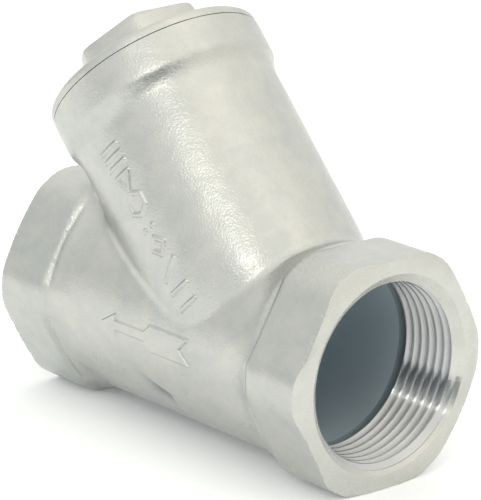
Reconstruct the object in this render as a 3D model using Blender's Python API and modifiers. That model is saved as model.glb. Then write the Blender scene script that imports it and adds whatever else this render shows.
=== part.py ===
"""Y strainer: a cast stainless body with two threaded hexagonal sockets, a slanted
branch closed by a screwed cap, a flat gasket under the cap and a perforated screen
standing in the branch.

Frame: X runs along the pipe, from the outlet (-X) to the inlet (+X); Z is up.  The
origin is at the centre of the body's length and width, on the plane of the lower
flats of the two hexagons, so the run axis is at z = HEX_AF / 2.  The branch lies in
the XZ plane and leans towards the outlet.  Distances along the branch are measured
from the point where its axis crosses the run axis.
"""

import math

import bmesh
import bpy
from mathutils import Matrix, Vector

# ---------------------------------------------------------------- driving dimensions
RUN_LENGTH = 0.100            # face to face
RUN_R = 0.0242                # outside radius of the run between the hexagons
CAVITY_R = 0.0199             # cast bore of the run
HEX_AF = 0.050                # across the flats of both sockets
HEX_CORNER_R = 0.02695        # turned radius that blunts the hexagon's corners
HEX_LENGTH = 0.018            # length of each hexagon, shoulder included
FACE_R = 0.0250               # radius of the flat part of the machined end faces
FACE_BEVEL = math.radians(25)  # slope of the turned bevel outside it
SHOULDER = 0.0035             # length of the taper behind each hexagon

PIPE_PITCH = 0.002309         # parallel pipe thread, size 1 1/4
PIPE_MAJOR_R = 0.020955
PIPE_MINOR_R = 0.019476
PIPE_DEPTH = 0.0160           # threaded depth of each socket
MOUTH_R = 0.0218              # wide end of the 45 degree mouth chamfer
RELIEF_R = 0.0213             # groove where each pipe thread runs out
RELIEF = 0.0016

BRANCH_ANGLE = math.radians(46.5)   # between the branch and the outlet half of the run
BRANCH_X = 0.0195             # where the branch axis crosses the run axis
BRANCH_R = 0.02375            # outside radius of the branch tube
CHAMBER_R = 0.0206            # cast bore of the branch
COLLAR_R = 0.0253             # thickened rim of the branch
COLLAR_START = 0.0576         # where the tube begins to swell into the collar
COLLAR_FULL = 0.0596          # where the collar has its full radius
COLLAR_TOP = 0.06745          # machined rim of the branch
SEAL_R = 0.0235               # recess in the rim that holds the gasket
SEAL_FLOOR = 0.0664

CAP_PITCH = 0.002             # thread between the cap and the branch, right-handed
CAP_THREAD_R = 0.0208         # crest of the cap's thread
CAP_THREAD_ROOT_R = 0.0197
THREAD_GAP = 0.0003           # clearance between the two threads, square to a flank
NECK_THREAD_START = 0.0565    # lower end of the branch's thread
NECK_LEAD = 0.0015            # chamfer that leads the cap into it

WEB_LOW = 0.0045              # inclined wall that carries the screen's lower end
WEB_HIGH = 0.0072
WEB_HOLE_R = 0.0166
SEAT_R = 0.0180               # counterbore in the web for the screen
SEAT_FLOOR = 0.0055

SCREEN_R = 0.0175             # outside radius of the screen
SCREEN_WALL = 0.0008
SCREEN_LOW = 0.0058
SCREEN_TOP = 0.0652

GASKET_R = 0.0232
GASKET_BORE_R = 0.0212
GASKET_LOW = 0.0667
GASKET_TOP = 0.0676

CAP_FLANGE_LOW = 0.0679
CAP_FLANGE_TOP = 0.0702
CAP_FLANGE_R = 0.0252
CAP_EDGE = 0.0012             # rounding of the flange's upper edge
CAP_HEX_AF = 0.0279
CAP_HEX_CORNER_R = 0.0154
CAP_HEX_TURN = math.radians(25.1)   # first flat's normal, from +Y towards the run
CAP_CROWN = 0.0024            # rounding of the hexagon's corners at its top
CAP_TOP = 0.07775
CAP_SPIGOT_LOW = 0.0572
CAP_UNDERCUT = 0.0012         # smooth neck above the cap's thread, and the chamfer at its end
CAP_CUP_R = 0.0180            # hollow inside the cap's spigot, round the screen
CAP_CUP_FLOOR = 0.0656

ARROW_RISE = 0.0005           # height of the cast flow arrow above the run
ARROW_TIP_X = -0.0158
ARROW_HEAD_X = -0.0113
ARROW_TAIL_X = 0.0005
ARROW_END_X = 0.0134
ARROW_NOTCH_X = 0.0103
ARROW_HEAD_W = 0.0054         # full widths
ARROW_SHAFT_W = 0.0022
ARROW_TAIL_W = 0.0060
ARROW_FLARE = 0.0020          # length over which the shaft widens to the tail
ARROW_DEPTH = 0.0030          # how far its block reaches into the run's wall

ROUND = 64                    # sides of a large turned surface
THREAD_ROUND = 30             # sides of a threaded surface
CUT = 0.001                   # how far a cutter runs past the face it opens
EASE = 0.0003                 # small chamfers, clearances and overlaps
WELD = 0.000003               # points nearer than this are one point
SEAM_SHIFT = 0.37             # part of a facet by which a thread starts off its cutter's corners

RUN_Z = HEX_AF / 2
AXIS_X = Vector((1, 0, 0))
BRANCH_DIR = Vector((-math.cos(BRANCH_ANGLE), 0, math.sin(BRANCH_ANGLE)))
BRANCH_FOOT = Vector((BRANCH_X, 0, RUN_Z))

# ---------------------------------------------------------------- scene and helpers
for old in list(bpy.data.objects):
    bpy.data.objects.remove(old, do_unlink=True)


def collection(name):
    made = bpy.data.collections.new(name)
    bpy.context.scene.collection.children.link(made)
    return made


PARTS = collection("y_strainer")
CUTTERS = collection("cutters")


def along(direction, foot):
    """A matrix that turns local +Z to a direction and local +Y stays world +Y."""
    z = direction.normalized()
    y = Vector((0, 1, 0))
    x = y.cross(z)
    turn = Matrix((x, y, z)).transposed().to_4x4()
    return Matrix.Translation(foot) @ turn


RUN = along(AXIS_X, Vector((0, 0, RUN_Z)))
BRANCH = along(BRANCH_DIR, BRANCH_FOOT)


def add(name, mesh, matrix, home):
    made = bpy.data.objects.new(name, mesh)
    made.matrix_world = matrix
    home.objects.link(made)
    if home is CUTTERS:
        made.hide_render = True
        made.display_type = "WIRE"
    return made


def turned(name, profile, matrix, home=CUTTERS, sides=ROUND, skew=0.0):
    """A profile of (radius, height) points, run down its outer side, turned round local Z.

    skew turns the facets by a part of a side, so that two surfaces that cut each
    other never share an edge.
    """
    mesh = bpy.data.meshes.new(name)
    points = [(r, 0, z) for r, z in profile]
    edges = [(i, i + 1) for i in range(len(points) - 1)]
    if profile[0][0] > 0 or profile[-1][0] > 0:
        edges.append((len(points) - 1, 0))
    mesh.from_pydata(points, edges, [])
    made = add(name, mesh, matrix @ Matrix.Rotation(skew * math.tau / sides, 4, "Z"), home)
    screw = made.modifiers.new("turn", "SCREW")
    screw.axis = "Z"
    screw.angle = math.tau
    screw.steps = screw.render_steps = sides
    screw.use_merge_vertices = True
    screw.merge_threshold = 0.00001
    screw.use_normal_calculate = False
    return made


def rod(name, radius, low, high, matrix, home=CUTTERS, sides=ROUND, skew=0.0):
    return turned(name, [(0, high), (radius, high), (radius, low), (0, low)], matrix, home, sides, skew)


def prism(name, across_flats, low, high, matrix, first_normal=0.0):
    """A hexagonal prism along local Z whose first flat faces first_normal from local X."""
    mesh = bpy.data.meshes.new(name)
    bm = bmesh.new()
    corner = across_flats / 2 / math.cos(math.pi / 6)
    bmesh.ops.create_cone(bm, cap_ends=True, segments=6, radius1=corner, radius2=corner, depth=high - low)
    start = math.atan2(bm.verts[:][0].co.y, bm.verts[:][0].co.x)
    spin = Matrix.Rotation(first_normal + math.pi / 6 - start, 4, "Z")
    bmesh.ops.transform(bm, matrix=Matrix.Translation((0, 0, (low + high) / 2)) @ spin, verts=bm.verts)
    bm.to_mesh(mesh)
    bm.free()
    return add(name, mesh, matrix, CUTTERS)


def threaded_rod(name, root_r, crest_r, root_flat, crest_flat, pitch, low, high, matrix, sides=THREAD_ROUND):
    """A right-handed threaded rod along local Z, from below low to above high.

    No modifier makes a closed helical solid, so its grid is built here: every row
    climbs one pitch a turn and the seam joins a row to the one a pitch above it.
    A flat of no width makes a sharp root or crest.
    """
    flank = (pitch - root_flat - crest_flat) / 2
    stops = [(0.0, root_r), (root_flat + flank, crest_r)]
    if root_flat > 0:
        stops.insert(1, (root_flat, root_r))
    if crest_flat > 0:
        stops.append((pitch - flank, crest_r))
    turns = math.ceil((high - low) / pitch) + 3
    start = low - pitch + SEAM_SHIFT * pitch / sides
    column = [(start + k * pitch + dz, r) for k in range(turns) for dz, r in stops]
    rows, step = len(column), len(stops)
    bm = bmesh.new()
    grid = []
    for i in range(sides):
        a = math.tau * i / sides
        climb = pitch * i / sides - pitch
        grid.append([bm.verts.new((r * math.cos(a), r * math.sin(a), z + climb)) for z, r in column])
    for i in range(sides - 1):
        for j in range(rows - 1):
            bm.faces.new((grid[i][j], grid[i + 1][j], grid[i + 1][j + 1], grid[i][j + 1]))
    for j in range(rows - 1 - step):
        bm.faces.new((grid[-1][j], grid[0][j + step], grid[0][j + step + 1], grid[-1][j + 1]))
    bottom = [grid[i][0] for i in range(sides)] + [grid[0][j] for j in range(step, 0, -1)]
    top = [grid[i][rows - 1] for i in range(sides - 1, -1, -1)]
    top += [grid[-1][j] for j in range(rows - 1 - step, rows - 1)]
    for rim, z in ((bottom, column[0][0] - 2 * pitch), (top, column[-1][0] + pitch)):
        hub = bm.verts.new((0, 0, z))
        for a, b in zip(rim, rim[1:] + rim[:1]):
            bm.faces.new((hub, b, a))
    bmesh.ops.recalc_face_normals(bm, faces=bm.faces)
    mesh = bpy.data.meshes.new(name)
    bm.to_mesh(mesh)
    bm.free()
    return add(name, mesh, matrix, CUTTERS)


def boolean(target, other, operation):
    cut = target.modifiers.new(operation.lower() + " " + other.name, "BOOLEAN")
    cut.operation = operation
    cut.object = other
    cut.solver = "EXACT"
    weld = target.modifiers.new("tidy", "WELD")
    weld.merge_threshold = WELD
    return target


def material(name, colour, roughness, metallic):
    made = bpy.data.materials.new(name)
    made.use_nodes = True
    shader = made.node_tree.nodes["Principled BSDF"]
    shader.inputs["Base Color"].default_value = (*colour, 1)
    shader.inputs["Roughness"].default_value = roughness
    shader.inputs["Metallic"].default_value = metallic
    return made


# ---------------------------------------------------------------- the body's outside
half = RUN_LENGTH / 2
face_drop = (HEX_CORNER_R - FACE_R) * math.tan(FACE_BEVEL)
one_end = [(FACE_R, half), (HEX_CORNER_R, half - face_drop),
           (HEX_CORNER_R, half - HEX_LENGTH + SHOULDER), (RUN_R, half - HEX_LENGTH)]
other_end = [(r, -x) for r, x in reversed(one_end)]
body = turned("body", [(0, half)] + one_end + other_end + [(0, -half)], RUN, PARTS)
body.data.materials.append(material("cast_stainless", (0.62, 0.61, 0.58), 0.38, 1.0))
boolean(body, prism("hexagon", HEX_AF, -half - CUT, half + CUT, RUN), "INTERSECT")

branch = turned(
    "branch_tube",
    [(0, COLLAR_TOP), (COLLAR_R - EASE, COLLAR_TOP), (COLLAR_R, COLLAR_TOP - EASE), (COLLAR_R, COLLAR_FULL),
     (BRANCH_R, COLLAR_START), (BRANCH_R, CUT), (0, CUT)],
    BRANCH, skew=0.5)
boolean(body, branch, "UNION")

# The flow arrow is a flat outline pushed out of the run's side and trimmed to a
# shell that stands ARROW_RISE above it.
outline = [(ARROW_TIP_X, 0), (ARROW_HEAD_X, -ARROW_HEAD_W / 2), (ARROW_HEAD_X, -ARROW_SHAFT_W / 2),
           (ARROW_TAIL_X - ARROW_FLARE, -ARROW_SHAFT_W / 2), (ARROW_TAIL_X, -ARROW_TAIL_W / 2),
           (ARROW_END_X, -ARROW_TAIL_W / 2), (ARROW_NOTCH_X, 0)]
outline += [(x, -z) for x, z in reversed(outline[1:-1])]
mesh = bpy.data.meshes.new("flow_arrow")
bm = bmesh.new()
flat = bm.faces.new([bm.verts.new((x, -RUN_R + ARROW_DEPTH, RUN_Z + z)) for x, z in outline])
pushed = bmesh.ops.extrude_face_region(bm, geom=[flat])
corners = [v for v in pushed["geom"] if isinstance(v, bmesh.types.BMVert)]
bmesh.ops.translate(bm, vec=(0, -2 * ARROW_DEPTH, 0), verts=corners)
bmesh.ops.recalc_face_normals(bm, faces=bm.faces)
bm.to_mesh(mesh)
bm.free()
arrow = add("flow_arrow", mesh, Matrix.Identity(4), CUTTERS)
boolean(arrow, rod("arrow_limit", RUN_R + ARROW_RISE, -half, half, RUN, skew=0.5), "INTERSECT")
boolean(body, arrow, "UNION")

# ---------------------------------------------------------------- the body's inside
relief = half - PIPE_DEPTH + EASE
run_cavity = turned(
    "run_cavity",
    [(0, relief), (RELIEF_R, relief), (RELIEF_R, relief - RELIEF), (CAVITY_R, relief - RELIEF),
     (CAVITY_R, -relief + RELIEF), (RELIEF_R, -relief + RELIEF), (RELIEF_R, -relief), (0, -relief)],
    RUN, skew=0.3)
web = rod("web", RUN_R * 2, WEB_LOW, WEB_HIGH, BRANCH, sides=40)
boolean(run_cavity, web, "DIFFERENCE")
boolean(body, run_cavity, "DIFFERENCE")
chamber = rod("chamber", CHAMBER_R, WEB_HIGH - EASE, NECK_THREAD_START + CUT, BRANCH, skew=0.5)
boolean(body, chamber, "DIFFERENCE")
boolean(body, turned(
    "screen_seat",
    [(0, WEB_HIGH + CUT), (SEAT_R, WEB_HIGH + CUT), (SEAT_R, SEAT_FLOOR), (WEB_HOLE_R, SEAT_FLOOR),
     (WEB_HOLE_R, WEB_LOW - CUT), (0, WEB_LOW - CUT)],
    BRANCH, skew=0.2), "DIFFERENCE")

for side, name in ((1, "inlet"), (-1, "outlet")):
    outward = along(AXIS_X * side, Vector((0, 0, RUN_Z)))
    thread = threaded_rod(name + "_thread", PIPE_MINOR_R, PIPE_MAJOR_R, 0, 0,
                          PIPE_PITCH, half - PIPE_DEPTH, half + CUT, outward)
    ends = rod(name + "_thread_ends", PIPE_MAJOR_R + CUT, half - PIPE_DEPTH, half + CUT, outward, skew=0.4)
    boolean(thread, ends, "INTERSECT")
    boolean(body, thread, "DIFFERENCE")
    chamfer = MOUTH_R - PIPE_MINOR_R + CUT
    boolean(body, turned(
        name + "_mouth",
        [(0, half + CUT), (MOUTH_R + CUT, half + CUT),
         (MOUTH_R - chamfer, half - chamfer), (0, half - chamfer)],
        outward, skew=0.3), "DIFFERENCE")

# The branch's thread is the cap's thread grown by THREAD_GAP on every side.
CAP_FLANK = CAP_PITCH * 0.31
CAP_FLATS = (CAP_PITCH - 2 * CAP_FLANK) / 2
flank_angle = math.atan2(CAP_THREAD_R - CAP_THREAD_ROOT_R, CAP_FLANK)
grow = THREAD_GAP * math.tan(flank_angle / 2)
neck = threaded_rod(
    "neck_thread", CAP_THREAD_ROOT_R + THREAD_GAP, CAP_THREAD_R + THREAD_GAP,
    CAP_FLATS - 2 * grow, CAP_FLATS + 2 * grow,
    CAP_PITCH, NECK_THREAD_START, COLLAR_TOP + CUT, BRANCH)
neck.data.transform(Matrix.Translation((0, 0, grow)))
neck_low = NECK_THREAD_START - EASE / 3
neck_ends = rod("neck_thread_ends", CAP_THREAD_R + CUT, neck_low, COLLAR_TOP + CUT, BRANCH, skew=0.4)
boolean(neck, neck_ends, "INTERSECT")
boolean(body, neck, "DIFFERENCE")
lead = CAP_THREAD_R + THREAD_GAP + EASE
boolean(body, turned(
    "seal_recess",
    [(0, COLLAR_TOP + CUT), (SEAL_R, COLLAR_TOP + CUT), (SEAL_R, SEAL_FLOOR), (lead, SEAL_FLOOR),
     (lead - NECK_LEAD, SEAL_FLOOR - NECK_LEAD), (0, SEAL_FLOOR - NECK_LEAD)],
    BRANCH, skew=0.3), "DIFFERENCE")

# ---------------------------------------------------------------- screen and gasket
screen = turned(
    "screen",
    [(SCREEN_R, SCREEN_TOP), (SCREEN_R, SCREEN_LOW),
     (SCREEN_R - SCREEN_WALL, SCREEN_LOW), (SCREEN_R - SCREEN_WALL, SCREEN_TOP)],
    BRANCH, PARTS)
screen.data.materials.append(material("perforated_stainless", (0.50, 0.50, 0.50), 0.30, 1.0))

gasket = turned(
    "gasket",
    [(GASKET_R, GASKET_TOP), (GASKET_R, GASKET_LOW), (GASKET_BORE_R, GASKET_LOW), (GASKET_BORE_R, GASKET_TOP)],
    BRANCH, PARTS)
gasket.data.materials.append(material("ptfe", (0.86, 0.86, 0.83), 0.45, 0.0))

# ---------------------------------------------------------------- the cap
cap = turned(
    "cap",
    [(0, CAP_FLANGE_TOP), (CAP_FLANGE_R - CAP_EDGE, CAP_FLANGE_TOP),
     (CAP_FLANGE_R - CAP_EDGE / 3, CAP_FLANGE_TOP - CAP_EDGE / 3),
     (CAP_FLANGE_R, CAP_FLANGE_TOP - CAP_EDGE), (CAP_FLANGE_R, CAP_FLANGE_LOW), (0, CAP_FLANGE_LOW)],
    BRANCH, PARTS)
cap.data.materials.append(material("cast_stainless_cap", (0.62, 0.61, 0.58), 0.36, 1.0))

first_flat = math.pi / 2 + CAP_HEX_TURN
head = prism("cap_hexagon", CAP_HEX_AF, CAP_FLANGE_LOW + CUT / 2, CAP_TOP + CUT, BRANCH, first_flat)
boolean(head, turned(
    "cap_turning",
    [(0, CAP_TOP), (CAP_HEX_CORNER_R - CAP_CROWN, CAP_TOP),
     (CAP_HEX_CORNER_R - CAP_CROWN / 3, CAP_TOP - CAP_CROWN / 3),
     (CAP_HEX_CORNER_R, CAP_TOP - CAP_CROWN), (CAP_HEX_CORNER_R, CAP_FLANGE_LOW + CUT),
     (0, CAP_FLANGE_LOW + CUT)],
    BRANCH, skew=0.3), "INTERSECT")
boolean(cap, head, "UNION")

spigot = threaded_rod(
    "cap_thread", CAP_THREAD_ROOT_R, CAP_THREAD_R, CAP_FLATS, CAP_FLATS,
    CAP_PITCH, NECK_THREAD_START, COLLAR_TOP + CUT, BRANCH)
undercut = SEAL_FLOOR - CAP_UNDERCUT
boolean(spigot, turned(
    "cap_thread_ends",
    [(0, CAP_FLANGE_LOW + CUT / 2), (CAP_THREAD_ROOT_R - EASE, CAP_FLANGE_LOW + CUT / 2),
     (CAP_THREAD_ROOT_R - EASE, undercut), (CAP_THREAD_R + EASE, undercut - CUT),
     (CAP_THREAD_R + EASE, CAP_SPIGOT_LOW + CAP_UNDERCUT), (CAP_THREAD_ROOT_R - EASE, CAP_SPIGOT_LOW),
     (0, CAP_SPIGOT_LOW)],
    BRANCH, skew=0.25), "INTERSECT")
boolean(cap, spigot, "UNION")
boolean(cap, rod("cap_cup", CAP_CUP_R, CAP_SPIGOT_LOW - CUT, CAP_CUP_FLOOR, BRANCH, skew=0.5), "DIFFERENCE")
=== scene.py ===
"""The looks of a cast stainless Y strainer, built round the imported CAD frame.

Every cast surface is the zero set of a distance field, meshed here and then cut by
fine machined tools: end faces, pipe threads, reliefs, chambers, seats and the seal
recess.  Lengths are millimetres unless a comment says otherwise, in the frame of the
CAD: X runs along the pipe towards the inlet and Z is up from the plane
of the lower flats.
"""

import math

import bmesh
import bpy
import numpy as np
from mathutils import Matrix, Vector


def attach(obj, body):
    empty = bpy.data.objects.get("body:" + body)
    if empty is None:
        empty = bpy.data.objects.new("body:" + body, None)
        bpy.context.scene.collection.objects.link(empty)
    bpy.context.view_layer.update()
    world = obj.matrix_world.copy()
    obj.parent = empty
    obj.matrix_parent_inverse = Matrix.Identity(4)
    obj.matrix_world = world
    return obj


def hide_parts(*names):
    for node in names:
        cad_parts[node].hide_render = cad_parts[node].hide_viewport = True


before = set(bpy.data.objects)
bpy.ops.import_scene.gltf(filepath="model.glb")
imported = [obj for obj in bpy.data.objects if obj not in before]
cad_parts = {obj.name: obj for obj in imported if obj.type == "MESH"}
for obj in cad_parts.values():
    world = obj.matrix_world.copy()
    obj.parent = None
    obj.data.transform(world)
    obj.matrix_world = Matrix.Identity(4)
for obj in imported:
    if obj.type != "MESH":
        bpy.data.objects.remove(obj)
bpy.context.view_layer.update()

MM = 0.001
TAU = math.tau

# -------------------------------- the object's dimensions
RUN_Z = 25.0  # height of the run axis above the lower flats
HALF_RUN = 50.0
RUN_R = 24.2
APOTHEM = 25.0  # of the hexagonal ends
CORNER_R = 26.95  # radius that blunts their corners
CORNER_EDGE = 0.8  # rounding where that radius meets the flats
HEX_BACK = 35.0  # where the flats end and the shoulder starts down to the run
SHOULDER_SLOPE = 0.76  # fall of the shoulder for each millimetre of run
SHOULDER_EDGE = 0.3  # rounding between a flat and the shoulder
SHOULDER_FILLET = 2.5  # between the shoulder and the run, fading out between these two places
FILLET_FADES, FILLET_GONE = HEX_BACK - 2.5, HEX_BACK - 0.3
FACE_R = 24.95  # flat part of the faced ends
FACE_BEVEL = math.radians(25)  # slope of the turned bevel outside it

LEAN = math.radians(46.5)  # of the branch over the run
FOOT_X = 19.5  # where their axes cross; distances up the branch start there
BRANCH_R = 23.9
BRANCH_START = 2.0
ROOT_START = 16.5  # below this the branch narrows a little towards its root
ROOT_REACH = 12
ROOT_CURVE = 0.0115
COLLAR_R = 25.3
COLLAR_START = 57.5
COLLAR_SLOPE = 0.6  # growth of the radius for each millimetre up the branch
COLLAR_EDGE, COLLAR_FILLET = 0.5, 0.9
COLLAR_TOP = 67.65

JOINT_FILLET = 3.2  # between run and branch
FAR_EXTRA = 1.3  # added to it beside the outlet's hexagon
FAR_STARTS, FAR_FULL = -26, -31
POCKET = (-34.0, 14.2, 47.0)  # where the shoulder's corner meets the branch
POCKET_EXTRA = 1.3  # added round that place
POCKET_REACH, POCKET_FULL = 9.0, 1.0
FLUSH = 0.9  # the fillet shrinks where both surfaces face nearly the same way
LEAST_FILLET = 1e-3
SPARE = 1  # length beyond a face that a cutting tool takes off
PAST = 3  # how far the widest tools reach past that face

CAVITY_R = 19.9
CHAMBER_R = 20.6
PIPE_PITCH = 2.309
PIPE_MAJOR_R = 20.955
PIPE_MINOR_R = 19.476
PIPE_DEPTH = 16.0
RELIEF_R = 21.3
RELIEF, RELIEF_CONE = 1.6, 0.8  # lengths of its straight part and of its cone
MOUTH_R = 21.8
MOUTH_SLOPE = 0.72  # fall of the mouth's chamfer for each millimetre of radius

WEB_LOW, WEB_HIGH = 4.5, 7.2
WEB_HOLE_R = 16.6
SEAT_R = 18.0
SEAT_FLOOR = 5.5

CAP_PITCH = 2.0
CAP_THREAD_R = 20.8
CAP_THREAD_ROOT_R = 19.7
THREAD_GAP = 0.3
NECK_THREAD_START = 56.5
SEAL_R = 23.5
SEAL_FLOOR = 66.4

GASKET_R, GASKET_BORE_R = 23.2, 21.2
GASKET_LOW, GASKET_TOP = 66.7, 67.6

FLANGE_LOW, FLANGE_TOP = 67.83, 70.2
FLANGE_R = 25.2
CAP_APOTHEM = 13.95
CAP_CORNER_R = 15.4
CAP_TURN = math.radians(25.1)
CAP_TOP = 78.1
CAP_EDGE, CAP_TOP_EDGE = 1.4, 1.3
CAP_FILLET = 1.1  # between the flange and the head
CAP_SPARE = 1.5  # metal below the flange, cut off flat
CAP_WAVE, CAP_WAVE_DEPTH = 1.3, 0.8  # shorter and shallower waviness than the body's
SPIGOT_LOW = 57.2
CUP_R = 18.0
CUP_FLOOR = 65.6

SCREEN_R = 17.5
SCREEN_WALL = 0.8
SCREEN_LOW, SCREEN_TOP = 5.8, 65.2

ROUND = 144  # sides of a turned surface
THREAD_ROUND = 112
BREAK = 0.3  # broken edge of a turned bore
WIDE = 40  # a radius beyond any metal that a tool has to reach
FAR = 1e9  # farther than any distance in a field
TINY = 1e-9  # keeps a division by a distance finite

COS, SIN = math.cos(LEAN), math.sin(LEAN)
RUN_AXIS, RUN_FOOT = Vector((1, 0, 0)), Vector((0, 0, RUN_Z))
UP_BRANCH, FOOT = Vector((-COS, 0, SIN)), Vector((FOOT_X, 0, RUN_Z))


# -------------------------------- distance fields
def smooth(edge0, edge1, value):
    t = np.clip((value - edge0) / (edge1 - edge0), 0.0, 1.0)
    return t * t * (3 - 2 * t)


def join(a, b, radius):
    """Union of two fields with a fillet."""
    corner = np.hypot(np.maximum(radius - a, 0), np.maximum(radius - b, 0))
    return np.maximum(radius, np.minimum(a, b)) - corner


def meet(a, b, radius):
    """Intersection of two fields with a rounded edge."""
    corner = np.hypot(np.maximum(radius + a, 0), np.maximum(radius + b, 0))
    return np.minimum(-radius, np.maximum(a, b)) + corner


def on_branch(p):
    """Distance up the branch, then the two coordinates across it."""
    dx, dz = p[:, 0] - FOOT_X, p[:, 2] - RUN_Z
    return -dx * COS + dz * SIN, -dx * SIN - dz * COS, p[:, 1]


def hexagon(a, b):
    """Largest reach of a point past the centre, towards any flat of a hexagon with a flat facing b."""
    c30, s30 = math.cos(math.pi / 6), 0.5
    return np.maximum(np.abs(b), np.maximum(np.abs(c30 * a + s30 * b), np.abs(c30 * a - s30 * b)))


def closed(points):
    """Each point with the next one, and the last with the first."""
    return list(zip(points, points[1:] + points[:1]))


def polygon(px, py, corners):
    """Signed distance to a closed outline."""
    best = np.full(px.shape, FAR)
    inside = np.zeros(px.shape, bool)
    for (ax, ay), (bx, by) in closed(corners):
        best = np.minimum(best, stroke(px, py, (ax, ay), (bx, by), 0))
        if ay != by:
            crossing = (ay > py) != (by > py)
            inside ^= crossing & (px < (bx - ax) * (py - ay) / (by - ay) + ax)
    return np.where(inside, -best, best)


def stroke(px, py, a, b, width):
    """Distance to a line drawn between two points."""
    ex, ey = b[0] - a[0], b[1] - a[1]
    t = np.clip(((px - a[0]) * ex + (py - a[1]) * ey) / (ex * ex + ey * ey), 0, 1)
    return np.hypot(px - a[0] - t * ex, py - a[1] - t * ey) - width / 2


# The raised flow arrow, as (distance along the run, height above its axis).
ARROW = [(-15.8, 0), (-11.3, 2.7), (-11.3, 1.1), (-1.5, 1.1), (0.5, 3.0), (13.4, 3.0), (10.3, 0)]
ARROW += [(x, -z) for x, z in reversed(ARROW[1:-1])]
ARROW_RISE, ARROW_BLUNT = 0.40, 0.18  # its height, and half the width of its sloping edge
MARK_RISE, MARK_BLUNT = 0.42, 0.34
MARK_WIDTH = 0.95
MARK_HALF = 2.6  # half the height of a bar
DOT_R = 0.62
MARK_ANGLE = math.radians(185)  # of the row of marks round the branch
MARKS_FROM, MARKS_TO, MARKS_SIDE = 8, 56, 6  # every mark lies well inside this stretch

DENT_DEPTH = 0.6
DENT_TOP = math.radians(-150)  # angle round the run of the dent's upper edge
DENT_DEEPEST, DENT_END = 3.2, 8  # distances round the run below that edge
DENT_TAIL, DENT_FULL, DENT_BACK, DENT_FRONT = -8, 2.4, 2.7, 3.7  # places along the run


def regular(centre, radius, sides, turn=0.0):
    angles = [TAU * i / sides + turn for i in range(sides)]
    return [(centre[0] + radius * math.cos(a), centre[1] + radius * math.sin(a)) for a in angles]


def bar(up):
    return (up, -MARK_HALF), (up, MARK_HALF)


# Plain bars, dots and outlines in a row up the branch, as (distance up, distance across).
MARK_LINES = [bar(12.6), bar(16.6), ((19.8, -2.5), (22.6, 2.5))]
MARK_LINES += closed(regular((27.0, 0.2), 2.1, 4))
MARK_LINES += closed(regular((37.6, 0), 2.7, 6))
MARK_LINES += closed(regular((43.6, 0), 2.6, 3, math.pi))
MARK_LINES += [bar(47.3), bar(49.4), bar(51.5)]
MARK_DOTS = [(31.4, 1.4), (31.4, -1.4)]


def marks(along, across):
    """Distance to the nearest mark, worked out only where there can be one."""
    best = np.full(along.shape, FAR)
    near = (along > MARKS_FROM) & (along < MARKS_TO) & (np.abs(across) < MARKS_SIDE)
    a, b = along[near], across[near]
    found = np.full(a.shape, FAR)
    for start, end in MARK_LINES:
        found = np.minimum(found, stroke(a, b, start, end, MARK_WIDTH))
    for x, y in MARK_DOTS:
        found = np.minimum(found, np.hypot(a - x, b - y) - DOT_R)
    best[near] = found
    return best


WAVE_HEIGHT, WAVE_SINK = 0.022, 0.055
NICK_DEPTH = 0.13
NICK_STARTS, NICK_FULL = 48.6, 49.3  # distances from the middle of the run


def waviness(p):
    """The slight unevenness of a casting, never outward: sines of unrelated lengths and phases."""
    x, y, z = p[:, 0], p[:, 1], p[:, 2]
    swell = (np.sin(0.47 * x + 0.21 * y + 1.3) * np.sin(0.39 * z - 0.17 * x + 0.4)
             + np.sin(0.44 * y - 0.33 * z + 2.1) * np.sin(0.29 * x + 0.36 * z)
             + 0.5 * np.sin(0.93 * x - 0.52 * z) * np.sin(0.81 * y + 0.66 * z + 0.8))
    return WAVE_HEIGHT * swell - WAVE_SINK


def nicks(p):
    """Small bites that machining leaves along the outer edges of the faced ends."""
    x, y, z = p[:, 0], p[:, 1], p[:, 2] - RUN_Z
    bites = (np.sin(2.3 * y + 1.2 * z) * np.sin(1.7 * z - 0.9 * y + 0.6)
             + np.sin(3.7 * y - 1.5 * z + 1.1) * np.sin(3.3 * z + 2.0 * y))
    return NICK_DEPTH * np.clip(bites, 0, 2) * smooth(NICK_STARTS, NICK_FULL, np.abs(x))


def mark_place(p):
    """Distance up the branch, and distance round it from the row of marks."""
    s, w, y = on_branch(p)
    angle = np.arctan2(w, y) - MARK_ANGLE
    return s, (np.mod(angle + math.pi, TAU) - math.pi) * BRANCH_R


def relief_outline(p):
    """Distances to the raised arrow and to the nearest raised mark, which are on one side only."""
    arrow = polygon(p[:, 0], p[:, 2] - RUN_Z, ARROW)
    arrow = np.where(p[:, 1] < 0, arrow, FAR)
    return arrow, marks(*mark_place(p))


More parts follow.
